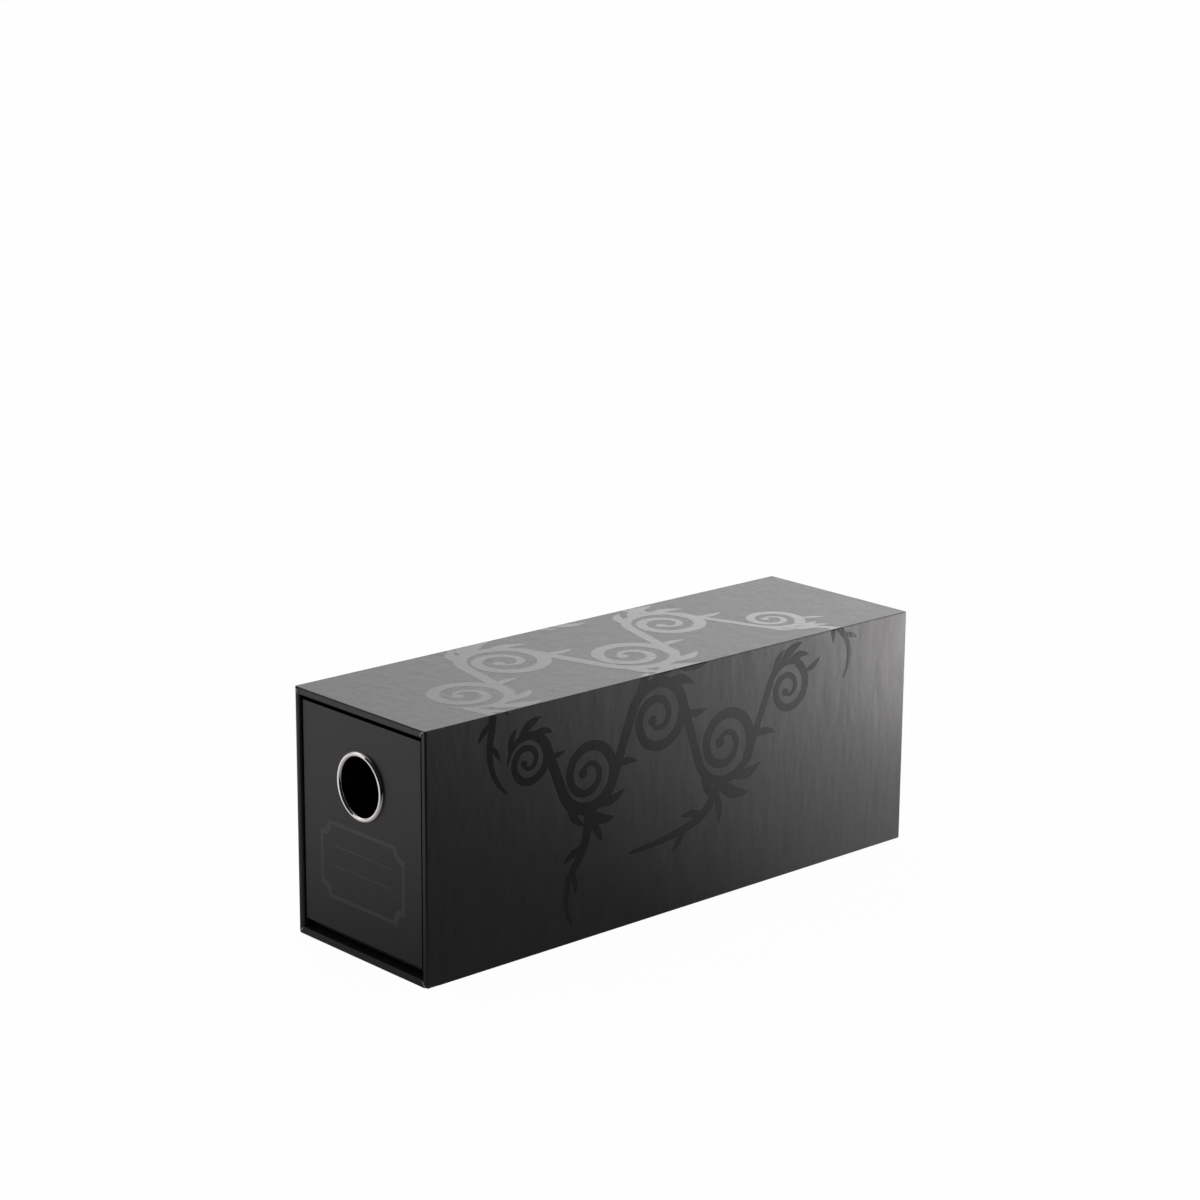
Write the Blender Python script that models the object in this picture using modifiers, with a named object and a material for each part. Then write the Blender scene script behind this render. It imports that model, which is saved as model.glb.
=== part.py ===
"""Card storage drawer: a slipcase of paper-wrapped board with a pull-out tray that fills it.

Metres, +Z up. The mouth of the case and the finger ring face -Y, and the drawer slides out that way.
The origin is the centre of the base, under the middle of the whole object with its ring.
"""

import math

import bmesh
import bpy
from mathutils import Vector

# Sheet stock
PAPER = 0.0002
CASE_BOARD = 0.002
TRAY_BOARD = 0.002
FACING_BOARD = 0.002
GLUE_LINE = 0.0003
BOARD_EDGE_RADIUS = 0.0006

# Case, outside sizes
CASE_WIDTH = 0.083
CASE_LENGTH = 0.272
CASE_HEIGHT = 0.1055
CASE_TURN_IN = 0.015
TURN_OVER = 0.012
SHEET_INSET = 0.0015

# How the drawer sits in the case
SIDE_PLAY = 0.0006
FLOOR_GAP = 0.0003
BACK_GAP = 0.0003
FACING_RECESS = 0.001
FACING_LIFT = 0.0039
FACING_HEADROOM = 0.0017
TRAY_RIM_DROP = 0.0005
TRAY_TURN_IN = 0.0115

# Finger ring
RING_DIAMETER = 0.029
BEAD_WIDTH = 0.00235
RING_PROUD = 0.0015
RING_WALL = 0.0004
RING_MARGIN = 0.0133
HOLE_CLEARANCE = 0.0003
FLARE_WIDTH = 0.001
CLINCH_INSET = 0.0003
CLINCH_THICKNESS = 0.0006

# How finely round shapes are cut
FOLD_SEGMENTS = 3
BEAD_SEGMENTS = 12
RING_SEGMENTS = 64
MERGE_DISTANCE = 0.000001
CUT_OVERRUN = 0.002

# The way each side of a box faces
LEFT = Vector((-1, 0, 0))
RIGHT = Vector((1, 0, 0))
FRONT = Vector((0, -1, 0))
BACK = Vector((0, 1, 0))
DOWN = Vector((0, 0, -1))
UP = Vector((0, 0, 1))

# Sizes that follow from those above
SKIN = PAPER + GLUE_LINE
FOLD_RADIUS = BOARD_EDGE_RADIUS + SKIN
CASE_WALL = SKIN + CASE_BOARD + SKIN
TRAY_WALL = SKIN + TRAY_BOARD + SKIN
FACING_THICKNESS = SKIN + FACING_BOARD + SKIN
FRONT_Y = (RING_PROUD - FACING_RECESS - CASE_LENGTH) / 2
CASE_FLOOR = SKIN + CASE_WALL
FACING_Y = FRONT_Y + FACING_RECESS
FACING_TOP = CASE_HEIGHT - CASE_WALL - FACING_HEADROOM
RING_Z = FACING_TOP - RING_MARGIN - RING_DIAMETER / 2
BORE_RADIUS = RING_DIAMETER / 2 - BEAD_WIDTH
BARREL_RADIUS = BORE_RADIUS + RING_WALL
HOLE_RADIUS = BARREL_RADIUS + HOLE_CLEARANCE
FRONT_STACK = FACING_THICKNESS + GLUE_LINE + TRAY_WALL


def clear_scene():
    for obj in list(bpy.data.objects):
        bpy.data.objects.remove(obj)


def new_collection(name):
    collection = bpy.data.collections.new(name)
    bpy.context.scene.collection.children.link(collection)
    return collection


def material(name, color, roughness, metallic=0.0):
    """One piece's own material, in the colour that the photograph gives it."""
    made = bpy.data.materials.new(name)
    made.use_nodes = True
    shader = made.node_tree.nodes["Principled BSDF"]
    shader.inputs["Base Color"].default_value = (*color, 1.0)
    shader.inputs["Roughness"].default_value = roughness
    shader.inputs["Metallic"].default_value = metallic
    return made


FINISHES = {
    "greyboard": ((0.30, 0.28, 0.25), 0.9, 0.0),
    "laminated_paper": ((0.024, 0.022, 0.023), 0.45, 0.0),
    "black_paper": ((0.012, 0.012, 0.012), 0.8, 0.0),
    "nickel": ((0.78, 0.74, 0.70), 0.12, 1.0),
}


def empty(name, location):
    """A group's own frame, which its pieces are parented to."""
    frame = bpy.data.objects.new(name, None)
    frame.location = location
    model.objects.link(frame)
    return frame


def add_piece(name, mesh, centre, group, finish):
    """A piece whose mesh is drawn about its own centre, placed in its group."""
    piece = bpy.data.objects.new(name, mesh)
    piece.parent = group
    piece.location = centre - group.location
    mesh.materials.append(material(name, *FINISHES[finish]))
    model.objects.link(piece)
    return piece


def shrunk(box, depth):
    """The box, a lowest and a highest corner, that lies this deep inside another."""
    low, high = box
    inset = Vector((depth, depth, depth))
    return low + inset, high - inset


def moved(box, side, outward):
    """The same box with the side that faces this way moved outwards by this much."""
    low, high = box
    step = side * outward
    if sum(side) > 0:
        return low, high + step
    return low + step, high


def slab(box, side, thickness):
    """The slice of a box, this thick, that lies against the side facing this way."""
    low, high = box
    depth = abs(side.dot(high - low))
    return moved(box, -side, thickness - depth)


def box_cage(box):
    """A bmesh box about its own centre, and where that centre goes."""
    low, high = box
    cage = bmesh.new()
    bmesh.ops.create_cube(cage, size=1.0)
    bmesh.ops.scale(cage, vec=high - low, verts=cage.verts)
    return cage, (low + high) / 2


def finished_mesh(name, cage):
    mesh = bpy.data.meshes.new(name)
    cage.to_mesh(mesh)
    cage.free()
    return mesh


def board(name, box, group):
    """A rectangle of greyboard with slightly crushed edges."""
    cage, centre = box_cage(box)
    piece = add_piece(name, finished_mesh(name, cage), centre, group, "greyboard")
    crushed = piece.modifiers.new("crushed edges", "BEVEL")
    crushed.width = BOARD_EDGE_RADIUS
    crushed.segments = FOLD_SEGMENTS
    return piece


def walled(box, walls, thickness, group):
    """Lays boards inside a box, one per named wall in turn, and returns the room they leave."""
    for name, side in walls:
        board(name, slab(box, side, thickness), group)
        box = moved(box, side, -thickness - GLUE_LINE)
    return box


def side_of(cage, direction):
    return max(cage.faces, key=lambda face: face.normal.dot(direction))


def open_side(cage, side, border, turn):
    """Cuts a side away inside a border, and turns the paper at the cut inwards by this much."""
    inward = -side.normal * turn
    if border:
        bmesh.ops.inset_region(cage, faces=[side], thickness=border, use_even_offset=True)
    cut = list(side.edges)
    bmesh.ops.delete(cage, geom=[side], context="FACES_ONLY")
    if turn:
        turned = bmesh.ops.extrude_edge_only(cage, edges=cut)["geom"]
        ends = [item for item in turned if isinstance(item, bmesh.types.BMVert)]
        bmesh.ops.translate(cage, vec=inward, verts=ends)


def mark_folds(cage):
    """Gives the folds round a board's edge their bevel weight. Inner corners stay sharp."""
    weights = cage.edges.layers.float.new("bevel_weight_edge")
    for edge in cage.edges:
        if len(edge.link_faces) == 2 and edge.calc_face_angle_signed() > math.radians(45):
            edge[weights] = 1.0


def folded_sheet(name, box, openings, group, finish):
    """A sheet folded round a box: an open surface, with rounded folds, as thick as the paper.

    Each opening is a direction, the border that stays on that side and the depth it turns in by.
    """
    cage, centre = box_cage(box)
    sides = [(side_of(cage, direction), border, turn) for direction, border, turn in openings]
    for side, border, turn in sides:
        open_side(cage, side, border, turn)
    mark_folds(cage)
    piece = add_piece(name, finished_mesh(name, cage), centre, group, finish)
    folds = piece.modifiers.new("folds", "BEVEL")
    folds.limit_method = "WEIGHT"
    folds.width = FOLD_RADIUS
    folds.segments = FOLD_SEGMENTS
    thicken(piece)
    return piece


def lining(name, box, mouth, group):
    """Paper pasted inside a box: five flat walls, open towards the mouth."""
    cage, centre = box_cage(box)
    open_side(cage, side_of(cage, mouth), 0, 0)
    piece = add_piece(name, finished_mesh(name, cage), centre, group, "black_paper")
    thicken(piece)
    return piece


def thicken(piece):
    paper = piece.modifiers.new("paper", "SOLIDIFY")
    paper.thickness = PAPER
    paper.offset = -1.0
    paper.use_even_offset = True
    paper.use_quality_normals = True


def flat_sheet(name, box, side, group, finish):
    """A plain sheet glued over the turned edges on one side, a little smaller than that side."""
    inset = moved(shrunk(box, SHEET_INSET), side, SHEET_INSET)
    cage, centre = box_cage(slab(inset, side, PAPER))
    return add_piece(name, finished_mesh(name, cage), centre, group, finish)


def hole_cutter():
    """A plug through the whole front, as wide as the finger hole."""
    depth = FRONT_STACK + 2 * CUT_OVERRUN
    plug = bmesh.new()
    bmesh.ops.create_cone(
        plug,
        cap_ends=True,
        segments=RING_SEGMENTS,
        radius1=HOLE_RADIUS,
        radius2=HOLE_RADIUS,
        depth=depth,
    )
    cutter = bpy.data.objects.new("finger_hole_cutter", finished_mesh("finger_hole_cutter", plug))
    cutter.location = (0, FACING_Y + FRONT_STACK / 2, RING_Z)
    cutter.rotation_euler = (math.radians(90), 0, 0)
    cutter.hide_render = True
    cutter.display_type = "WIRE"
    cutters.objects.link(cutter)
    return cutter


def pierce(piece, cutter):
    hole = piece.modifiers.new("finger hole", "BOOLEAN")
    hole.operation = "DIFFERENCE"
    hole.object = cutter
    hole.solver = "EXACT"


def turned(name, outline, group):
    """A ring turned from its outline of radius and height. Height runs forwards from the facing."""
    loop = bmesh.new()
    points = [loop.verts.new((radius, 0, height)) for radius, height in outline]
    for start, end in zip(points, points[1:] + points[:1]):
        loop.edges.new((start, end))
    centre = Vector((0, FACING_Y, RING_Z))
    piece = add_piece(name, finished_mesh(name, loop), centre, group, "nickel")
    piece.rotation_euler = (math.radians(90), 0, 0)
    spin = piece.modifiers.new("turned", "SCREW")
    spin.steps = RING_SEGMENTS
    spin.render_steps = RING_SEGMENTS
    spin.use_merge_vertices = True
    spin.merge_threshold = MERGE_DISTANCE
    spin.use_smooth_shade = True
    return piece


def bead_outline():
    """The half-round bead on the facing, from the inner lip over the crown to the outer foot."""
    half_width = BEAD_WIDTH / 2
    crown_radius = BORE_RADIUS + half_width
    rise = RING_PROUD - GLUE_LINE
    angles = [math.pi * (1 - step / BEAD_SEGMENTS) for step in range(BEAD_SEGMENTS + 1)]
    return [
        (crown_radius + half_width * math.cos(angle), GLUE_LINE + rise * math.sin(angle))
        for angle in angles
    ]


def ring_outline():
    """Bead, barrel through the boards, and the barrel's end rolled out over the clinch ring."""
    clinch_back = -FRONT_STACK - GLUE_LINE - CLINCH_THICKNESS
    roll_front = clinch_back - GLUE_LINE
    roll_back = roll_front - RING_WALL
    roll_radius = BARREL_RADIUS + FLARE_WIDTH
    return bead_outline() + [
        (BARREL_RADIUS, GLUE_LINE),
        (BARREL_RADIUS, roll_front),
        (roll_radius, roll_front),
        (roll_radius, roll_back),
        (BARREL_RADIUS, roll_back),
        (BORE_RADIUS, roll_front),
    ]


def clinch_outline():
    front = -FRONT_STACK - GLUE_LINE
    back = front - CLINCH_THICKNESS
    outer = RING_DIAMETER / 2 - CLINCH_INSET
    return [
        (HOLE_RADIUS, front),
        (outer, front),
        (outer, back),
        (HOLE_RADIUS, back),
    ]


def build_case():
    group = empty("case", Vector((0, 0, 0)))
    outside = (
        Vector((-CASE_WIDTH / 2, FRONT_Y, 0)),
        Vector((CASE_WIDTH / 2, FRONT_Y + CASE_LENGTH, CASE_HEIGHT)),
    )
    flat_sheet("case_base_sheet", outside, DOWN, group, "black_paper")
    flat_sheet("case_back_sheet", outside, BACK, group, "laminated_paper")
    wrapped = moved(moved(outside, DOWN, -SKIN), BACK, -SKIN)
    openings = [(FRONT, CASE_WALL, CASE_TURN_IN), (BACK, TURN_OVER, 0), (DOWN, TURN_OVER, 0)]
    folded_sheet("case_wrap", wrapped, openings, group, "laminated_paper")

    walls = [
        ("case_back_board", BACK),
        ("case_top_board", UP),
        ("case_bottom_board", DOWN),
        ("case_left_board", LEFT),
        ("case_right_board", RIGHT),
    ]
    inside = walled(shrunk(wrapped, SKIN), walls, CASE_BOARD, group)
    past_turn_in = CASE_TURN_IN + GLUE_LINE - SKIN
    lining("case_lining", moved(inside, FRONT, -past_turn_in), FRONT, group)


def build_tray(group, cutter):
    half_width = CASE_WIDTH / 2 - CASE_WALL - SIDE_PLAY
    front_y = FACING_Y + FACING_THICKNESS + GLUE_LINE
    back_y = FRONT_Y + CASE_LENGTH - SKIN - CASE_WALL - BACK_GAP
    outside = (
        Vector((-half_width, front_y, CASE_FLOOR + FLOOR_GAP)),
        Vector((half_width, back_y, FACING_TOP - TRAY_RIM_DROP)),
    )
    flat_sheet("tray_base_sheet", outside, DOWN, group, "black_paper")
    wrapped = moved(outside, DOWN, -SKIN)
    openings = [(UP, TRAY_WALL, TRAY_TURN_IN), (DOWN, TURN_OVER, 0)]
    wrap = folded_sheet("tray_wrap", wrapped, openings, group, "black_paper")

    walls = [
        ("tray_bottom_board", DOWN),
        ("tray_front_board", FRONT),
        ("tray_back_board", BACK),
        ("tray_left_board", LEFT),
        ("tray_right_board", RIGHT),
    ]
    inside = walled(shrunk(wrapped, SKIN), walls, TRAY_BOARD, group)
    past_turn_in = TRAY_TURN_IN + GLUE_LINE - SKIN
    lined = lining("tray_lining", moved(inside, UP, -past_turn_in), UP, group)
    for pierced in (wrap, model.objects["tray_front_board"], lined):
        pierce(pierced, cutter)


def build_facing(group, cutter):
    half_width = CASE_WIDTH / 2 - CASE_WALL - SIDE_PLAY
    wrapped = (
        Vector((-half_width, FACING_Y, CASE_FLOOR + FACING_LIFT)),
        Vector((half_width, FACING_Y + FACING_THICKNESS, FACING_TOP)),
    )
    openings = [(BACK, TURN_OVER, 0)]
    pierce(folded_sheet("facing_wrap", wrapped, openings, group, "laminated_paper"), cutter)
    pierce(board("facing_board", shrunk(wrapped, SKIN), group), cutter)


def build_drawer():
    group = empty("drawer_slide", Vector((0, FACING_Y, RING_Z)))
    cutter = hole_cutter()
    build_tray(group, cutter)
    build_facing(group, cutter)
    turned("finger_ring", ring_outline(), group)
    turned("finger_ring_clinch", clinch_outline(), group)


clear_scene()
model = new_collection("card_storage_drawer")
cutters = new_collection("cutters")
build_case()
build_drawer()
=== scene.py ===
"""Looks of the card storage drawer: wrapped board, spot-varnished ornament and nickel finger ring."""

import math

import bpy
from mathutils import Matrix, Vector
from mathutils.geometry import delaunay_2d_cdt


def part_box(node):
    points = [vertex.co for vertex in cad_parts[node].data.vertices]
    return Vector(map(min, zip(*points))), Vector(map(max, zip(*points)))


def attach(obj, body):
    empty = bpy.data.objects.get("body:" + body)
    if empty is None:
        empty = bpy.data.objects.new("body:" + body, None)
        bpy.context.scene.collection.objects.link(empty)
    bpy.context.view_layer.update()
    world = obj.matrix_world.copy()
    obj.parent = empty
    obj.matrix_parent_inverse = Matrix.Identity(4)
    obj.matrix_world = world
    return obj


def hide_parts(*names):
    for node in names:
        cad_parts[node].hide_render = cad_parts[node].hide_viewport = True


MM = 0.001
CASE = "case"
DRAWER = "drawer"

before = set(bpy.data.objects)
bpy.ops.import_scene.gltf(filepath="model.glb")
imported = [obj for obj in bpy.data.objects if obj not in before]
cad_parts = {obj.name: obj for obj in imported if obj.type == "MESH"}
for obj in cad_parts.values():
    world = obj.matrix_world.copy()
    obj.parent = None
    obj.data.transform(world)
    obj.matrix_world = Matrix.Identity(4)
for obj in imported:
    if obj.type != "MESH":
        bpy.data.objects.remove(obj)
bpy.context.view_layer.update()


# Camera

AZIMUTH = math.radians(47.71)
ELEVATION = math.radians(14.82)
ROLL = math.radians(0.40)
CAMERA_OFFSET = Vector((-0.0058, 0.0703, 1.2799))
LENS = 90.57
SENSOR = 36.0
NEAREST = 0.01


def place_camera():
    """Stands where the photographer stood: turned about the wrapped case's middle."""
    low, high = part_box("case_wrap")
    middle = (low + high) / 2
    right = Vector((math.cos(AZIMUTH), math.sin(AZIMUTH), 0))
    back = Vector((
        math.sin(AZIMUTH) * math.cos(ELEVATION),
        -math.cos(AZIMUTH) * math.cos(ELEVATION),
        math.sin(ELEVATION),
    ))
    up = back.cross(right)
    rolled_right = right * math.cos(ROLL) + up * math.sin(ROLL)
    rolled_up = up * math.cos(ROLL) - right * math.sin(ROLL)
    turn = Matrix((rolled_right, rolled_up, back)).transposed()
    data = bpy.data.cameras.new("camera")
    data.lens = LENS
    data.sensor_width = SENSOR
    data.clip_start = NEAREST
    camera = bpy.data.objects.new("camera", data)
    camera.matrix_world = Matrix.Translation(middle + turn @ CAMERA_OFFSET) @ turn.to_4x4()
    bpy.context.scene.collection.objects.link(camera)
    bpy.context.scene.camera = camera


# Materials


GRAIN_SCALE = 2600
SKIN_SCALE = 900
FILM_IOR = 1.5


class Nodes:
    """Short names for building one node tree."""

    def __init__(self, name):
        self.material = bpy.data.materials.new(name)
        self.material.use_nodes = True
        self.tree = self.material.node_tree
        self.shader = self.tree.nodes["Principled BSDF"]
        self.place = self.add("ShaderNodeTexCoord").outputs["Object"]

    def add(self, kind, **settings):
        node = self.tree.nodes.new(kind)
        for key, value in settings.items():
            setattr(node, key, value)
        return node

    def link(self, source, target):
        self.tree.links.new(source, target)

    def stretched(self, scale):
        node = self.add("ShaderNodeMapping")
        self.link(self.place, node.inputs["Vector"])
        node.inputs["Scale"].default_value = scale
        return node.outputs["Vector"]

    def noise(self, scale, detail=3.0, rough=0.55, stretch=(1, 1, 1)):
        node = self.add("ShaderNodeTexNoise")
        self.link(self.stretched(stretch), node.inputs["Vector"])
        node.inputs["Scale"].default_value = scale
        node.inputs["Detail"].default_value = detail
        node.inputs["Roughness"].default_value = rough
        return node.outputs["Fac"]

    def span(self, source, low, high, to_low, to_high):
        node = self.add("ShaderNodeMapRange")
        self.link(source, node.inputs["Value"])
        node.inputs["From Min"].default_value = low
        node.inputs["From Max"].default_value = high
        node.inputs["To Min"].default_value = to_low
        node.inputs["To Max"].default_value = to_high
        return node.outputs["Result"]

    def math(self, operation, *values):
        node = self.add("ShaderNodeMath", operation=operation)
        for slot, value in zip(node.inputs, values):
            if isinstance(value, (int, float)):
                slot.default_value = value
            else:
                self.link(value, slot)
        return node.outputs["Value"]

    def blend(self, share, dark, light):
        node = self.add("ShaderNodeMix", data_type="RGBA")
        self.link(share, node.inputs["Factor"])
        node.inputs[6].default_value = (*dark, 1.0)
        node.inputs[7].default_value = (*light, 1.0)
        return node.outputs[2]

    def bump(self, *layers):
        """Each layer is a height, its strength and its depth in metres."""
        normal = None
        for height, strength, depth in layers:
            node = self.add("ShaderNodeBump")
            node.inputs["Strength"].default_value = strength
            node.inputs["Distance"].default_value = depth
            self.link(height, node.inputs["Height"])
            if normal is not None:
                self.link(normal, node.inputs["Normal"])
            normal = node.outputs["Normal"]
        self.link(normal, self.shader.inputs["Normal"])

    def set(self, **sockets):
        for name, value in sockets.items():
            slot = self.shader.inputs[name.replace("_", " ")]
            if isinstance(value, (int, float)):
                slot.default_value = value
            elif isinstance(value, tuple):
                slot.default_value = (*value, 1.0)
            else:
                self.link(value, slot)


def laminate(name, cockled):
    """Black print under a matt film: fine grain, and glue cockle that runs up the sides."""
    make = Nodes(name)
    grain = make.noise(GRAIN_SCALE, 3.0, 0.7)
    strokes = make.noise(1.0, 4.0, 0.65, (330, 330, 85))
    cockle = make.noise(1.0, 2.0, 0.5, (110, 110, 38))
    ripple = make.noise(1.0, 3.0, 0.6, (430, 430, 220))
    shade = make.math(
        "ADD", make.span(strokes, 0.34, 0.66, 0.0, 0.62), make.span(grain, 0.3, 0.7, 0.0, 0.38),
    )
    make.set(
        Base_Color=make.blend(shade, (0.0021, 0.0017, 0.0020), (0.0074, 0.0065, 0.0071)),
        Roughness=make.math(
            "ADD",
            make.span(grain, 0.3, 0.7, -0.02, 0.02),
            make.span(strokes, 0.34, 0.66, 0.375, 0.415),
        ),
        IOR=FILM_IOR,
        Specular_Tint=(1.0, 0.955, 0.99),
    )
    make.bump(
        (cockle, 0.34 * cockled, 0.0006),
        (ripple, 0.36 * cockled, 0.00014),
        (grain, 0.55, 0.00008),
    )
    return make.material


def worn_film_and_highlight(name):
    """The matt film where a sharp crease has whitened and polished it, made paler still by a painted
    highlight.
    """
    make = Nodes(name)
    rub = make.noise(GRAIN_SCALE)
    make.set(
        # Paler base colour: partly whitened fibres, partly a painted highlight where the crease catches
        # the light.
        Base_Color=make.blend(rub, (0.12, 0.117, 0.119), (0.46, 0.45, 0.455)),
        Roughness=make.span(rub, 0.3, 0.7, 0.25, 0.40),
        IOR=FILM_IOR,
    )
    make.bump((rub, 0.3, 0.00004))
    return make.material


def varnish(name):
    """Spot gloss printed on the matt film."""
    make = Nodes(name)
    ripple = make.noise(1.0, 3.0, 0.6, (300, 300, 70))
    skin = make.noise(SKIN_SCALE)
    make.set(
        Base_Color=make.blend(skin, (0.0036, 0.0033, 0.0035), (0.0054, 0.0050, 0.0053)),
        Roughness=make.span(skin, 0.3, 0.7, 0.12, 0.17),
        IOR=1.44,
        Specular_Tint=(1.0, 0.96, 1.0),
    )
    make.bump((ripple, 0.26, 0.0002), (skin, 0.12, 0.00002))
    return make.material


def label_ink(name):
    """The label's lines: a slightly paler gloss print."""
    make = Nodes(name)
    skin = make.noise(SKIN_SCALE)
    make.set(
        Base_Color=make.blend(skin, (0.0180, 0.0174, 0.0178), (0.0222, 0.0216, 0.0220)),
        Roughness=make.span(skin, 0.3, 0.7, 0.34, 0.42),
        IOR=FILM_IOR,
    )
    make.bump((skin, 0.10, 0.00002))
    return make.material


def black_paper(name):
    """Uncoated black paper with short fibres."""
    make = Nodes(name)
    fibre = make.noise(1.0, 4.0, 0.7, (2600, 900, 2600))
    cloud = make.noise(70)
    make.set(
        Base_Color=make.blend(cloud, (0.0125, 0.0120, 0.0124), (0.0260, 0.0250, 0.0256)),
        Roughness=make.span(fibre, 0.3, 0.7, 0.70, 0.88),
        IOR=1.45,
        Specular_IOR_Level=0.30,
    )
    make.bump((fibre, 0.35, 0.00006))
    return make.material


def greyboard(name):
    """Recycled solid board, seen only at cut edges."""
    make = Nodes(name)
    fleck = make.noise(1900, 4.0, 0.7)
    layer = make.noise(1.0, 2.0, 0.5, (900, 900, 4200))
    tone = make.math("MULTIPLY_ADD", layer, 0.5, make.math("MULTIPLY", fleck, 0.5))
    make.set(
        Base_Color=make.blend(tone, (0.20, 0.185, 0.165), (0.38, 0.36, 0.33)),
        Roughness=make.span(fleck, 0.3, 0.7, 0.82, 0.95),
    )
    make.bump((fleck, 0.4, 0.00008))
    return make.material


def nickel(name):
    """Polished nickel plate with hairline handling marks."""
    make = Nodes(name)
    marks = make.noise(1.0, 4.0, 0.7, (700, 700, 3000))
    cloud = make.noise(240)
    make.set(
        Base_Color=make.blend(cloud, (0.88, 0.832, 0.806), (0.95, 0.902, 0.876)),
        Metallic=1.0,
        Roughness=make.span(marks, 0.35, 0.7, 0.03, 0.08),
    )
    make.bump((marks, 0.04, 0.00001))
    return make.material


# Pieces


def add_piece(name, verts, normals, faces, finish, body):
    """A piece from points and normals that the code has worked out. It rides on its body."""
    mesh = bpy.data.meshes.new(name)
    mesh.from_pydata([tuple(v) for v in verts], [], faces)
    mesh.polygons.foreach_set("use_smooth", [True] * len(mesh.polygons))
    if normals:
        mesh.normals_split_custom_set_from_vertices([tuple(n) for n in normals])
    mesh.materials.append(finish)
    piece = bpy.data.objects.new(name, mesh)
    bpy.context.scene.collection.objects.link(piece)
    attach(piece, body)
    return piece


def arc(start, end, count):
    """Angles in degrees from start to end, as radians."""
    return [math.radians(start + (end - start) * step / count) for step in range(count + 1)]


CORNERS = ((1, 1), (-1, 1), (-1, -1), (1, -1))
CORNER_STEPS = 8
LOOP_POINTS = len(CORNERS) * (CORNER_STEPS + 1)
MERGED = 1e-7


def rounded_loop(half_a, half_b, radii):
    """Points and outward directions round a rectangle about the origin, with a radius per corner."""
    points = []
    for corner, ((sign_a, sign_b), radius) in enumerate(zip(CORNERS, radii)):
        for angle in arc(90 * corner, 90 * corner + 90, CORNER_STEPS):
            out_a, out_b = math.cos(angle), math.sin(angle)
            points.append((
                sign_a * (half_a - radius) + radius * out_a,
                sign_b * (half_b - radius) + radius * out_b,
                out_a,
                out_b,
            ))
    return points


def bridged(size, count, closed=False):
    """Quads between loops of the same size, one after another."""
    faces = []
    for first in range(count if closed else count - 1):
        second = (first + 1) % count
        for step in range(size):
            after = (step + 1) % size
            faces.append((
                first * size + step, second * size + step,
                second * size + after, first * size + after,
            ))
    return faces


def framed(box, fold, side, top, bottom):
    """Sweeps a profile round a box seen from the front. Sides, top and bottom have one each.

    A profile point is how far in from the box's edge, the y, and the normal out and along y.
    fold gives each corner's radius at a y. Corners are rounded by it, and mitred further in.
    """
    low, high = box
    middle = (low + high) / 2
    half_a, half_b = (high.x - low.x) / 2, (high.z - low.z) / 2
    verts, normals = [], []
    for upright, upper, lower in zip(side, top, bottom):
        radii = [max(fold(corner, upright[1]) - upright[0], 0.0) for corner in range(len(CORNERS))]
        loop = rounded_loop(half_a - upright[0], half_b, radii)
        for a, b, out_a, out_b in loop:
            level = upper if b > 0 else lower
            share = out_b * out_b
            y, out, along = (upright[i] * (1 - share) + level[i] * share for i in (1, 2, 3))
            verts.append(Vector((middle.x + a, y, middle.z + b - math.copysign(level[0], b))))
            normals.append(Vector((out_a * out, along, out_b * out)).normalized())
    faces = [
        (a, b, c, d) for a, b, c, d in bridged(LOOP_POINTS, len(side))
        if max((verts[a] - verts[d]).length, (verts[b] - verts[c]).length) > MERGED
    ]
    return verts, normals, faces


def quarter(inset, y, radius, start, count):
    """A rounded edge in a profile: its circle's middle, and a quarter turn from this angle."""
    turns = [(math.cos(angle), math.sin(angle)) for angle in arc(start, start + 90, count)]
    return [(inset + radius * a, y - radius * b, -a, -b) for a, b in turns]


CASE_WALL = 3.0 * MM
LONG_FOLD = 0.5 * MM
# The rim's outer and inner rounding: pillowed down its sides, crisp at the top and the bottom.
SIDE_ROUND = (0.95 * MM, 1.15 * MM)
LEVEL_ROUND = (0.14 * MM, 0.18 * MM)
# The paper sinks along the top fold. In millimetres: how far in from the outer rounding it is,
# and how deep. Then its normal.
SCORE = (
    (1.00, 0.0, 0.0, -1),
    (0.82, 0.04, 0.60, -0.80),
    (0.62, 0.16, 0.0, -1),
    (0.24, 0.06, -0.86, -0.50),
)
# How far each front corner is worn round: top right, top left, bottom left, bottom right.
WORN = (0.3 * MM, 0.0, 0.9 * MM, 2.2 * MM)
WORN_REACH = 7.0 * MM
WORN_SHARES = (0.1, 0.3, 0.6, 1.0)
TURN_IN = 15.0 * MM
BORDER = 12.0 * MM


def rim_profile(box, outer, inner, scored=False):
    """From inside the sleeve, over the rim, along the outside and onto the back."""
    low, high = box
    profile = [(CASE_WALL, low.y + TURN_IN, -1, 0)]
    profile += quarter(CASE_WALL - inner, low.y + inner, inner, 0, 8)
    for inset, depth, out, along in SCORE:
        spot = (outer + inset * MM, low.y + depth * MM * scored)
        profile.append((*spot, out * scored, along if scored else -1))
    profile += quarter(outer, low.y + outer, outer, 90, 10)
    profile += [(0.0, low.y + outer + (WORN_REACH - outer) * share, 1, 0) for share in WORN_SHARES]
    profile += quarter(LONG_FOLD, high.y - LONG_FOLD, LONG_FOLD, 180, 6)
    profile.append((BORDER, high.y, 0, 1))
    return profile


def case_wrap(finish):
    """The printed wrap: four walls, mitred rim, sleeve turned in, border at the back."""
    box = low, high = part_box("case_wrap")

    def fold(corner, y):
        return LONG_FOLD + WORN[corner] * max(0.0, 1 - (y - low.y) / WORN_REACH) ** 2

    side = rim_profile(box, *SIDE_ROUND)
    top = rim_profile(box, *LEVEL_ROUND, scored=True)
    bottom = rim_profile(box, *LEVEL_ROUND)
    verts, normals, faces = framed(box, fold, side, top, bottom)
    piece = add_piece("visual_case_wrap", verts, normals, faces, finish, CASE)
    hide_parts("case_wrap")


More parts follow.
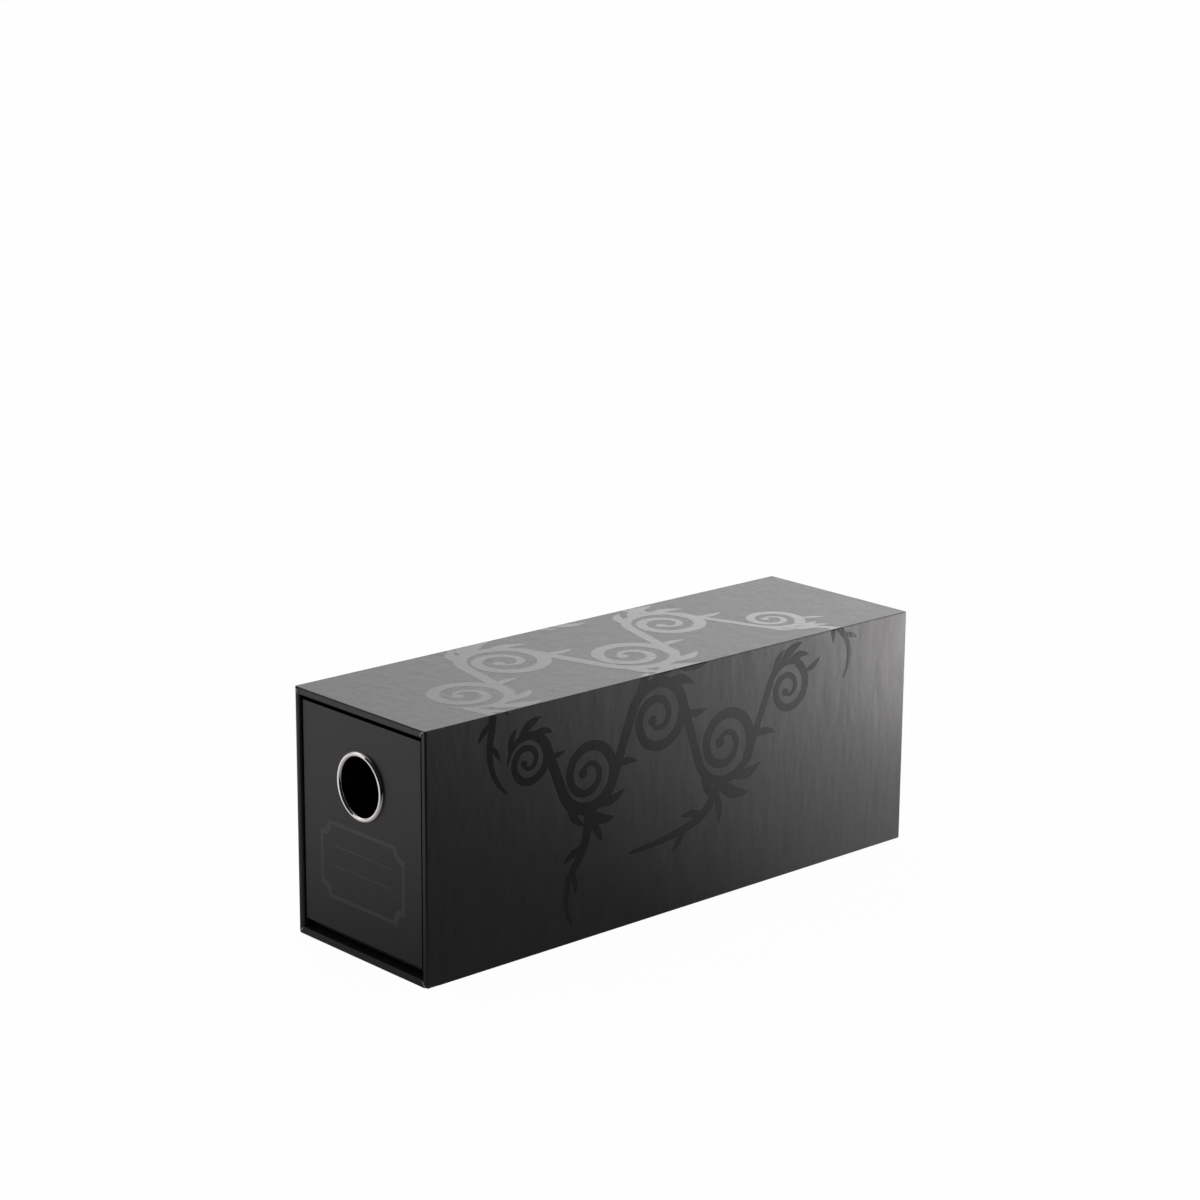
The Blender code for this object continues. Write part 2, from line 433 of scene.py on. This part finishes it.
CREASE_SIDES = 8
CREASE_END_SHARE = 0.25


def tube(path, radius):
    """A thin rounded ridge along a path, tapered at both ends."""
    verts, last = [], len(path) - 1
    for step, point in enumerate(path):
        run = (path[min(step + 1, last)] - path[max(step - 1, 0)]).normalized()
        across = run.orthogonal().normalized()
        other = run.cross(across)
        swell = math.sin(math.pi * step / last)
        size = radius * (CREASE_END_SHARE + (1 - CREASE_END_SHARE) * swell)
        for angle in arc(0, 360, CREASE_SIDES)[:-1]:
            verts.append(point + (across * math.cos(angle) + other * math.sin(angle)) * size)
    return verts, bridged(CREASE_SIDES, len(path))


CREASE_LIFT = 0.10 * MM
# The creases at the mouth's corners: which side, which end, and in millimetres each one's radius
# and its points, in from the side and from the top or bottom.
CREASES = (
    (1, 1, 0.26, ((2.9, 2.6), (2.6, 1.6), (2.1, 0.9), (1.4, 0.6), (0.9, 1.0))),
    (-1, 1, 0.21, ((2.9, 2.7), (2.2, 2.0), (1.3, 1.1), (0.5, 0.5))),
    (-1, -1, 0.26, ((2.9, 2.7), (2.4, 2.2), (1.8, 1.5), (1.4, 1.0))),
    (1, -1, 0.16, ((2.9, 2.8), (2.5, 2.0), (1.9, 1.3), (1.3, 0.9), (0.8, 0.9))),
)


def rounded_depth(inset, outer, inner):
    """How far back the rim's surface lies at an inset."""
    near_outer = max(outer - inset, 0.0)
    near_inner = min(max(inset - (CASE_WALL - inner), 0.0), inner)
    outer_depth = outer - math.sqrt(outer ** 2 - near_outer ** 2)
    return outer_depth + inner - math.sqrt(inner ** 2 - near_inner ** 2)


SMOOTH_STEPS = 6


def smoothed(points):
    """A curve through points."""
    out = []
    for index in range(len(points) - 1):
        before, start = points[max(index - 1, 0)], points[index]
        end, after = points[index + 1], points[min(index + 2, len(points) - 1)]
        square = before * 2 - start * 5 + end * 4 - after
        cube = start * 3 - before - end * 3 + after
        for step in range(SMOOTH_STEPS):
            t = step / SMOOTH_STEPS
            out.append((start * 2 + (end - before) * t + square * t ** 2 + cube * t ** 3) / 2)
    return out + [points[-1]]


def mitre_creases(finish):
    """Where the turned paper is folded at the mouth's corners, the film is creased and worn. Its pale
    finish is partly a painted highlight.
    """
    low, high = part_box("case_wrap")
    verts, faces = [], []
    for side, end, radius, insets in CREASES:
        path = []
        for a, b in ((a * MM, b * MM) for a, b in insets):
            depth = min(rounded_depth(a, *SIDE_ROUND), rounded_depth(b, *LEVEL_ROUND))
            x = high.x - a if side > 0 else low.x + a
            z = high.z - b if end > 0 else low.z + b
            path.append(Vector((x, low.y + depth - CREASE_LIFT, z)))
        ridge, sides = tube(smoothed(path), radius * MM)
        faces += [tuple(len(verts) + i for i in face) for face in sides]
        verts += ridge
    piece = add_piece("visual_mitre_creases", verts, [], faces, finish, CASE)


FACING_FOLD = 0.35 * MM
FACING_SIDE_FOLD = 0.6 * MM
FACING_CORNER = 0.8 * MM
# The paper's hole ends out of sight, under the ring's bead.
HOLE_RADIUS = 12.9 * MM
HOLE_STEPS = 72
HOLE_EDGE_SHARE = 0.98


def facing_wrap(finish):
    """The drawer's front panel: flat, softly folded at its edges, with the ring's hole."""
    low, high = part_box("facing_wrap")
    ring_low, ring_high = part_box("finger_ring")

    def folded(radius):
        back = quarter(radius, high.y - radius, radius, 180, 6)[::-1]
        return [(BORDER, high.y, 0, 1)] + back + quarter(radius, low.y + radius, radius, 90, 6)[::-1]

    def corner_radius(corner, y):
        return FACING_CORNER

    side, level = folded(FACING_SIDE_FOLD), folded(FACING_FOLD)
    verts, normals, faces = framed((low, high), corner_radius, side, level, level)
    rim = [(vert.x, vert.z) for vert in verts[-LOOP_POINTS:]]
    hole_z = (ring_low.z + ring_high.z) / 2
    ring = [
        (HOLE_RADIUS * math.cos(angle), hole_z + HOLE_RADIUS * math.sin(angle))
        for angle in arc(0, 360, HOLE_STEPS)[:-1]
    ]
    edges = [(i, (i + 1) % len(rim)) for i in range(len(rim))]
    edges += [(len(rim) + i, len(rim) + (i + 1) % len(ring)) for i in range(len(ring))]
    points = [Vector(point) for point in rim + ring]
    out, _, triangles, _, _, _ = delaunay_2d_cdt(points, edges, [], 1, MERGED)
    for triangle in triangles:
        centre = sum((out[i] for i in triangle), Vector((0, 0))) / 3
        if math.hypot(centre.x, centre.y - hole_z) > HOLE_RADIUS * HOLE_EDGE_SHARE:
            faces.append(tuple(len(verts) + i for i in triangle))
    verts += [Vector((point.x, low.y, point.y)) for point in out]
    normals += [Vector((0, -1, 0))] * len(out)
    piece = add_piece("visual_facing_wrap", verts, normals, faces, finish, DRAWER)
    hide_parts("facing_wrap")


# The ring: its bead, the sheet it is drawn from, and the roll at the barrel's end.
BEAD_WIDTH = 2.35 * MM
BEAD_STEPS = 36
BEAD_FULLNESS = 0.92
BEAD_LIP = 0.02 * MM
NECK = 0.6 * MM
SHEET = 0.4 * MM
SHEET_TOP = 0.1 * MM
ROLL_RADIUS = 0.55 * MM
ROLL_TURN = 160
ROLL_FOOT = 1.0 * MM
RING_STEPS = 160
RING_CREASE = math.radians(50)


def finger_ring(finish):
    """Half-round bead, drawn into a barrel whose end is rolled outwards."""
    low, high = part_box("finger_ring")
    front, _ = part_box("facing_wrap")
    outer = (high.x - low.x) / 2
    bore = outer - BEAD_WIDTH
    half = BEAD_WIDTH / 2
    rise = front.y - low.y - BEAD_LIP
    deep = high.y - front.y
    roll_height = ROLL_RADIUS - deep
    outline = [
        (bore + half + half * math.cos(angle), BEAD_LIP + rise * math.sin(angle) ** BEAD_FULLNESS)
        for angle in arc(0, 180, BEAD_STEPS)
    ]
    outline += [(bore, -NECK), (bore, -deep / 2), (bore, roll_height)]
    outline += [
        (bore + ROLL_RADIUS - ROLL_RADIUS * math.cos(angle), roll_height - ROLL_RADIUS * math.sin(angle))
        for angle in arc(0, ROLL_TURN, 10)[1:]
    ]
    outline += [(bore + SHEET, ROLL_FOOT - deep), (bore + SHEET, -SHEET_TOP)]
    middle = (low.z + high.z) / 2
    verts = [
        Vector((radius * math.cos(angle), front.y - height, middle + radius * math.sin(angle)))
        for radius, height in outline for angle in arc(0, 360, RING_STEPS)[:-1]
    ]
    faces = bridged(RING_STEPS, len(outline), True)
    piece = add_piece("visual_finger_ring", verts, [], faces, finish, DRAWER)
    piece.data.set_sharp_from_angle(angle=RING_CREASE)
    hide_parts("finger_ring")


# Varnish


def film(name, outlines, holes, lift_out, cuts, finish, body):
    """Lays flat outlines as one varnish film. lift_out gives a flat point's place and normal."""
    points, faces = [], []
    for outline in outlines + holes:
        area = sum(a[0] * b[1] - b[0] * a[1] for a, b in zip(outline, outline[1:] + outline[:1]))
        loop = outline if area > 0 else outline[::-1]
        faces.append(list(range(len(points), len(points) + len(loop))))
        points += [Vector(point) for point in loop]
    edges = []
    for start, end in cuts:
        edges.append((len(points), len(points) + 1))
        points += [Vector(start), Vector(end)]
    out, _, triangles, _, _, origins = delaunay_2d_cdt(points, edges, faces, 1, MERGED)
    kept = [
        tuple(triangle) for triangle, owners in zip(triangles, origins)
        if owners and not any(owner >= len(outlines) for owner in owners)
    ]
    places, normals = zip(*(lift_out(point.x, point.y) for point in out))
    piece = add_piece(name, places, normals, kept, finish, body)


FILM_LIFT = 0.03 * MM
BEND_STEPS = 6


def case_skin():
    """Where a point of the unfolded wrap lies, and the lines to cut a film along at its bends.

    s runs across the top and on down the sides, y along the case.
    """
    low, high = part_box("case_wrap")
    half = (high.x - low.x) / 2
    flat = half - LONG_FOLD
    bend = LONG_FOLD * math.pi / 2

    def place(s, y):
        side = 1 if s > 0 else -1
        run = abs(s)
        if run <= flat:
            normal = Vector((0, 0, 1))
            spot = Vector((s, y, high.z))
        elif run <= flat + bend:
            angle = (run - flat) / LONG_FOLD
            normal = Vector((side * math.sin(angle), 0, math.cos(angle)))
            spot = Vector((side * flat, y, high.z - LONG_FOLD)) + normal * LONG_FOLD
        else:
            normal = Vector((side, 0, 0))
            spot = Vector((side * half, y, high.z - LONG_FOLD - (run - flat - bend)))
        return spot + normal * FILM_LIFT, normal

    lines = []
    for step in range(BEND_STEPS + 1):
        run = flat + bend * step / BEND_STEPS
        for side in (-1, 1):
            lines.append(((side * run, low.y), (side * run, high.y)))
    return place, lines


def ribbon(path, width):
    """Outline round a path. width gives the full width at each share of its length."""
    last = len(path) - 1
    left, right = [], []
    for step, (a, b) in enumerate(path):
        before, after = path[max(step - 1, 0)], path[min(step + 1, last)]
        run = Vector((after[0] - before[0], after[1] - before[1])).normalized()
        half = width(step / last) / 2
        left.append((a - run.y * half, b + run.x * half))
        right.append((a + run.y * half, b - run.x * half))
    return left + right[::-1]


# The printed ornament is a running scroll. Its sizes are in millimetres on the unfolded wrap:
# s across the top and on down the sides, y along the case. A circle is its s, y and radius.
# A scroll is its circles, the angle where its vine starts on the first one, and the vine's width.
SCROLLS = (
    (((14, -93, 17.5), (-12.5, -50, 18.5), (14, -4, 18.5), (-12.5, 41, 17), (12, 81, 13)), -68, 5.6),
    (((64, -84, 10.5), (76, -52, 14.5), (60, -14, 15), (79, 25, 16), (62, 62, 11.5)), 268, 5.0),
    (((-58, -66, 10.5), (-70, -34, 13.5), (-57, 2, 14), (-71, 37, 12.5)), -88, 4.6),
)
# Leaves outside a turn, each at a share of it, with its length, for a turn of the usual radius.
USUAL_RADIUS = 16
TURN_LEAVES = ((0.16, 17), (0.40, 23), (0.64, 18))
PASSING_LEAF = 14
VINE_STEPS = 18
# The spiral inside a turn: how far it winds, from where, how small it gets, and its round end.
CURL_STEPS = 80
CURL_TURN = 3.1 * math.pi
CURL_LEAD = 0.25
CURL_END_SHARE = 0.2
EYE_RADIUS = 2.4
# A spray is where it starts, its heading in degrees, its arcs (length and bend), width and leaf size.
SPRAYS = (
    ((30, -103), 12, ((22, -24), (26, 60)), 3.8, 13),
    ((25, 84), 15, ((22, 30), (22, -80)), 3.4, 12),
    ((90, -52), 10, ((26, -50), (26, 70)), 4.2, 15),
    ((94, 22), -12, ((26, -64), (34, -14)), 4.4, 16),
    ((-30, -56), 165, ((20, -30), (18, 60)), 3.4, 12),
    ((-29, 46), 165, ((24, 40), (22, -80)), 3.4, 12),
)
# A spray's leaves, each at a share of its length and on one side, and how they stand off.
SPRAY_LEAVES = ((0.14, 1), (0.34, -1), (0.56, 1))
SPRAY_LEAF_ANGLE = 0.95
LEAF_WIDTH_SHARE = 0.31
LEAF_STEPS = 24


def trail(start, heading, arcs, steps=14):
    """A path of arcs, each a length and how far it turns in degrees."""
    a, b = start
    path = [(a, b)]
    for length, bend in arcs:
        for _ in range(steps):
            heading += math.radians(bend) / steps
            a += math.cos(heading) * length / steps
            b += math.sin(heading) * length / steps
            path.append((a, b))
    return path


def leaf(base, heading, length, bend):
    """A pointed leaf with a lobed edge."""
    def width(share):
        body = math.sin(math.pi * min(1, share * 1.02 + 0.02)) ** 0.75 * (1 - 0.35 * share)
        notch = 1 - 0.25 * abs(math.cos(3 * math.pi * share)) ** 1.5 * (1 - share)
        return length * LEAF_WIDTH_SHARE * body * notch + 0.15

    return ribbon(trail(base, heading, [(length, bend)], LEAF_STEPS), width)


def around(circle, angle, radius):
    return (circle[0] + radius * math.cos(angle), circle[1] + radius * math.sin(angle))


def crossings(circles):
    """Where a vine that winds past each circle in turn leaves it, and the sense it turns in."""
    out = []
    for (s, y, radius), (next_s, next_y, next_radius) in zip(circles, circles[1:]):
        turn = 1 if s > next_s else -1
        gap = math.hypot(next_s - s, next_y - y)
        lean = math.acos(min(1, (radius + next_radius) / gap))
        out.append((math.atan2(next_y - y, next_s - s) - turn * lean, turn))
    return out


def spiral(circle, start, turn, width):
    """A curl that winds in from a circle and ends in a round eye."""
    radius = circle[2]
    scale = radius / USUAL_RADIUS
    curl = []
    for step in range(CURL_STEPS + 1):
        share = step / CURL_STEPS
        size = CURL_END_SHARE + (1 - CURL_END_SHARE) * (1 - share) ** 1.1
        curl.append(around(circle, start + turn * (CURL_TURN * share - CURL_LEAD), radius * size))
    eye = [around((*curl[-1], 0), angle, EYE_RADIUS * scale) for angle in arc(0, 360, 20)[:-1]]
    return [ribbon(curl, lambda share: width * 0.85 * scale * (1 - share) ** 0.55 + 0.9), eye]


def vine_width(width):
    """How a vine swells from its start and thins towards its end."""
    return lambda share: 0.7 + width * math.sin(min(1, share * 3.6) * math.pi / 2) * (1 - share) ** 0.35


def scroll(circles, entry, width):
    """A winding vine, with a spiral inside each of its turns and leaves outside."""
    passes = crossings(circles)
    vine, outlines = [], []
    for index, circle in enumerate(circles):
        radius = circle[2]
        scale = radius / USUAL_RADIUS
        begin = passes[index - 1][0] + math.pi if index else entry
        if index < len(passes):
            end, turn = passes[index]
        else:
            turn = -passes[-1][1]
            end = begin + turn * math.pi * 0.6
        sweep = (turn * (end - begin)) % (2 * math.pi)
        for step in range(VINE_STEPS + 1):
            vine.append(around(circle, begin + turn * sweep * step / VINE_STEPS, radius))
        outlines += spiral(circle, end, turn, width)
        for share, reach in TURN_LEAVES:
            angle = begin + turn * sweep * share
            base = around(circle, angle, radius - 0.5)
            outlines.append(leaf(base, angle + turn * math.radians(50), reach * scale, turn * 60))
        angle = end + turn * 0.35
        base = around(circle, angle, radius + 0.5)
        outlines.append(leaf(base, angle + turn * 0.5, PASSING_LEAF * scale, -turn * 52))
    outlines.append(ribbon(vine, vine_width(width)))
    return outlines


def spray(start, heading, arcs, width, size):
    """A thin branch with leaves on both sides."""
    path = trail(start, math.radians(heading), arcs)
    outlines = [ribbon(path, lambda share: width * (1 - share) ** 0.6 + 0.8)]
    for share, side in SPRAY_LEAVES:
        step = int(share * (len(path) - 1))
        (a, b), (next_a, next_b) = path[step:step + 2]
        aim = math.atan2(next_b - b, next_a - a) + side * SPRAY_LEAF_ANGLE
        outlines.append(leaf((a, b), aim, size * (1 - 0.5 * share), -side * 30))
    return outlines


def ornament_outlines():
    """The whole ornament on the unfolded wrap, in metres."""
    outlines = []
    for circles, entry, width in SCROLLS:
        outlines += scroll(circles, math.radians(entry), width)
    for branch in SPRAYS:
        outlines += spray(*branch)
    return [[(s * MM, y * MM) for s, y in outline] for outline in outlines]


LABEL_HALF = (27.0 * MM, 16.5 * MM)
LABEL_LINE = 1.8 * MM
LABEL_SCOOP = 5.0 * MM
LABEL_INNER_SCOOP = 5.4 * MM
LABEL_RISE = 30.2 * MM
RULE_HALF = 18.5 * MM
RULE_WIDTH = 0.6 * MM
RULE_RISES = (-2.5 * MM, 6.0 * MM)


def scooped(half_a, half_b, scoop):
    """A rectangle whose corners are cut by inward quarter circles."""
    points = []
    for index, (sign_a, sign_b) in enumerate(CORNERS):
        turn = [
            (half_a - scoop * math.sin(angle), half_b - scoop * math.cos(angle))
            for angle in arc(0, 90, 10)
        ]
        points += [(sign_a * a, sign_b * b) for a, b in (turn[::-1] if index % 2 else turn)]
    return points


def label(finish):
    """A plain writing label on the drawer's front: a scooped frame and two rules."""
    low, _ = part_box("facing_wrap")
    rise = low.z + LABEL_RISE
    outer = scooped(*LABEL_HALF, LABEL_SCOOP)
    inner = scooped(LABEL_HALF[0] - LABEL_LINE, LABEL_HALF[1] - LABEL_LINE, LABEL_INNER_SCOOP)
    rules = []
    for under in RULE_RISES:
        over = under + RULE_WIDTH
        rules.append([(-RULE_HALF, under), (RULE_HALF, under), (RULE_HALF, over), (-RULE_HALF, over)])

    def place(a, b):
        return Vector((a, low.y - FILM_LIFT, rise + b)), Vector((0, -1, 0))

    film("visual_label_frame", [outer], [inner], place, [], finish, DRAWER)
    film("visual_label_rules", rules, [], place, [], finish, DRAWER)


# Studio


# What gloss sees. A ramp is a direction, where it starts and ends along it, and its two levels.
SKY_BEHIND = ((-0.64, 0.77, 0.25), -0.06, 0.62, 0.02, 1.0)
SKY_FAR_BACK = ((-0.30, 0.954, 0), 0.72, 1.03, 0.55, 2.9)
# The floor's levels in gloss are painted light, and their low levels are painted shade.
FLOOR_AHEAD = ((-0.707, -0.707, 0), 0.04, 0.38, 0.20, 0.78)
FLOOR_BESIDE = ((-1, 0, 0), 0.06, 0.40, 0.20, 0.70)
FLOOR_BEHIND = ((-0.45, 0.89, 0), -0.05, 0.17, 0.20, 1.75)
FLOOR_UNDER = ((1, 0, 0), -0.10, 0.06, 0.20, 1.75)
# On the right in front of the case the floor's glow is dark in gloss, a painted shadow of the case: these
# two say where it isn't.
KEPT_LEFT = ((1, 0, 0), 0.0, 0.10, 1.0, 0.0)
KEPT_BACK = ((0.15, -0.99, 0), 0.19, 0.27, 1.0, 0.0)

# What everything else sees.
SKY_GLOW = 0.78
WHITE = 1.0
FLOOR_REACH = 40.0
FLOOR_COLOR = (0.70, 0.70, 0.70, 1)
FLOOR_ROUGHNESS = 0.9
FLOOR_WHITE_SHARE = 0.975


class Rays:
    """Nodes that tell what kind of ray looks at the floor or the surroundings."""

    def __init__(self, tree):
        self.tree = tree
        self.kind = tree.nodes.new("ShaderNodeLightPath").outputs
        self.place = tree.nodes.new("ShaderNodeTexCoord").outputs

    def math(self, operation, first, second):
        node = self.tree.nodes.new("ShaderNodeMath")
        node.operation = operation
        for slot, value in zip(node.inputs, (first, second)):
            if isinstance(value, float):
                slot.default_value = value
            else:
                self.tree.links.new(value, slot)
        return node.outputs["Value"]

    def ramp(self, where, direction, low, high, to_low, to_high):
        """Rises from to_low to to_high between two values of a place's reach along a direction."""
        along = self.tree.nodes.new("ShaderNodeVectorMath")
        along.operation = "DOT_PRODUCT"
        self.tree.links.new(self.place[where], along.inputs[0])
        along.inputs[1].default_value = direction
        node = self.tree.nodes.new("ShaderNodeMapRange")
        node.interpolation_type = "SMOOTHSTEP"
        self.tree.links.new(along.outputs["Value"], node.inputs["Value"])
        for name, value in zip(("From Min", "From Max", "To Min", "To Max"), (low, high, to_low, to_high)):
            node.inputs[name].default_value = value
        return node.outputs["Result"]

    def direct(self):
        """The camera's own rays, and those that pass through something."""
        return self.math("MAXIMUM", self.kind["Is Camera Ray"], self.kind["Is Transmission Ray"])

    def mix(self, share, first, second):
        node = self.tree.nodes.new("ShaderNodeMixShader")
        self.tree.links.new(share, node.inputs["Fac"])
        self.tree.links.new(first, node.inputs[1])
        self.tree.links.new(second, node.inputs[2])
        return node.outputs[0]


def surroundings():
    """White for the camera. In gloss bright behind, paler to the left, and dim on the camera's side."""
    world = bpy.context.scene.world or bpy.data.worlds.new("studio")
    bpy.context.scene.world = world
    world.use_nodes = True
    tree = world.node_tree
    tree.nodes.clear()
    rays = Rays(tree)

    def glow(strength):
        node = tree.nodes.new("ShaderNodeBackground")
        node.inputs["Color"].default_value = (1, 1, 1, 1)
        if isinstance(strength, float):
            node.inputs["Strength"].default_value = strength
        else:
            tree.links.new(strength, node.inputs["Strength"])
        return node.outputs[0]

    mirrored = rays.math(
        "MULTIPLY",
        rays.ramp("Generated", *SKY_BEHIND),
        rays.ramp("Generated", *SKY_FAR_BACK),
    )
    lit = rays.mix(rays.kind["Is Glossy Ray"], glow(SKY_GLOW), glow(mirrored))
    output = tree.nodes.new("ShaderNodeOutputWorld")
    tree.links.new(rays.mix(rays.direct(), lit, glow(WHITE)), output.inputs["Surface"])


def floor():
    """Pale floor that keeps a trace of the shadow.

    Reflections see a painted glow instead of its lit surface: pale to the front-left, the left and behind,
    dim with painted shade in the object's shade, and dark past its edge.
    """
    mesh = bpy.data.meshes.new("floor")
    corners = [(a * FLOOR_REACH, b * FLOOR_REACH, 0) for a, b in ((-1, -1), (1, -1), (1, 1), (-1, 1))]
    mesh.from_pydata(corners, [], [(0, 1, 2, 3)])
    sheet = bpy.data.objects.new("floor", mesh)
    bpy.context.scene.collection.objects.link(sheet)
    finish = bpy.data.materials.new("floor")
    finish.use_nodes = True
    tree = finish.node_tree
    shader = tree.nodes["Principled BSDF"]
    shader.inputs["Base Color"].default_value = FLOOR_COLOR
    shader.inputs["Roughness"].default_value = FLOOR_ROUGHNESS
    shader.inputs["Specular IOR Level"].default_value = 0.0
    white = tree.nodes.new("ShaderNodeEmission")
    white.inputs["Strength"].default_value = WHITE
    rays = Rays(tree)
    ahead = rays.ramp("Object", *FLOOR_AHEAD)
    beside = rays.ramp("Object", *FLOOR_BESIDE)
    behind = rays.math("MINIMUM", rays.ramp("Object", *FLOOR_BEHIND), rays.ramp("Object", *FLOOR_UNDER))
    kept = rays.math("MAXIMUM", rays.ramp("Object", *KEPT_LEFT), rays.ramp("Object", *KEPT_BACK))
    glow = rays.math("MAXIMUM", rays.math("MAXIMUM", ahead, beside), behind)
    # Glossy rays see this emission: painted light and a painted shadow in place of the lit floor.
    mirrored = tree.nodes.new("ShaderNodeEmission")
    tree.links.new(rays.math("MULTIPLY", glow, kept), mirrored.inputs["Strength"])
    pale = rays.math("MULTIPLY", rays.direct(), FLOOR_WHITE_SHARE)
    seen = rays.mix(pale, shader.outputs[0], white.outputs[0])
    seen = rays.mix(rays.kind["Is Glossy Ray"], seen, mirrored.outputs[0])
    tree.links.new(seen, tree.nodes["Material Output"].inputs["Surface"])
    mesh.materials.append(finish)


# Each lamp's place, what it points at, its width and height, and its radiance.
# A card shows in gloss only.
LAMPS = {
    "key": ((-0.95, 0.45, 0.95), (0, 0, 0.05), 1.0, 0.8, 1.0),
    "backdrop": ((-0.753, 1.053, 0.50), (0, 0, 0.25), 1.75, 0.9, 0.5),
    "front_left": ((-0.80, -0.75, 0.50), (0, 0, 0.05), 0.6, 0.6, 1.0),
    "low_card": ((0.105, 0.285, 0.06), (0.04, 0.13, 0.03), 0.15, 0.14, 6.5),
    "back_card": ((0.05, 0.42, 0.20), (0.04, 0.10, 0.06), 0.30, 0.25, 4.0),
}


def lamps():
    for name, (place, aim, width, height, radiance) in LAMPS.items():
        data = bpy.data.lights.new(name, "AREA")
        data.shape = "RECTANGLE"
        data.size = width
        data.size_y = height
        data.energy = radiance * math.pi * width * height
        lamp = bpy.data.objects.new(name, data)
        lamp.location = place
        lamp.rotation_euler = (Vector(aim) - Vector(place)).to_track_quat("-Z", "Y").to_euler()
        lamp.visible_camera = False
        lamp.visible_diffuse = not name.endswith("card")
        bpy.context.scene.collection.objects.link(lamp)


def dress(node, finish):
    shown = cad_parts[node]
    shown.data.materials.clear()
    shown.data.materials.append(finish)


place_camera()
printed = laminate("matt_laminate", 1.0)
printed_front = laminate("matt_laminate_front", 0.35)
gloss = varnish("spot_varnish")
paper = black_paper("black_paper")
board = greyboard("greyboard")
plate = nickel("nickel_plate")

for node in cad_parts:
    if node.endswith("board"):
        dress(node, board)
    elif node in ("case_wrap", "case_back_sheet"):
        dress(node, printed)
    elif node == "facing_wrap":
        dress(node, printed_front)
    elif node.startswith("finger_ring"):
        dress(node, plate)
    else:
        dress(node, paper)

case_wrap(printed)
# The creases' pale film is partly real whitening and partly a painted highlight.
mitre_creases(worn_film_and_highlight("worn_film_and_highlight"))
facing_wrap(printed_front)
finger_ring(plate)
place, lines = case_skin()
film("visual_ornament", ornament_outlines(), [], place, lines, gloss, CASE)
label(label_ink("label_ink"))
surroundings()
floor()
lamps()

bpy.context.scene.view_settings.view_transform = "Standard"
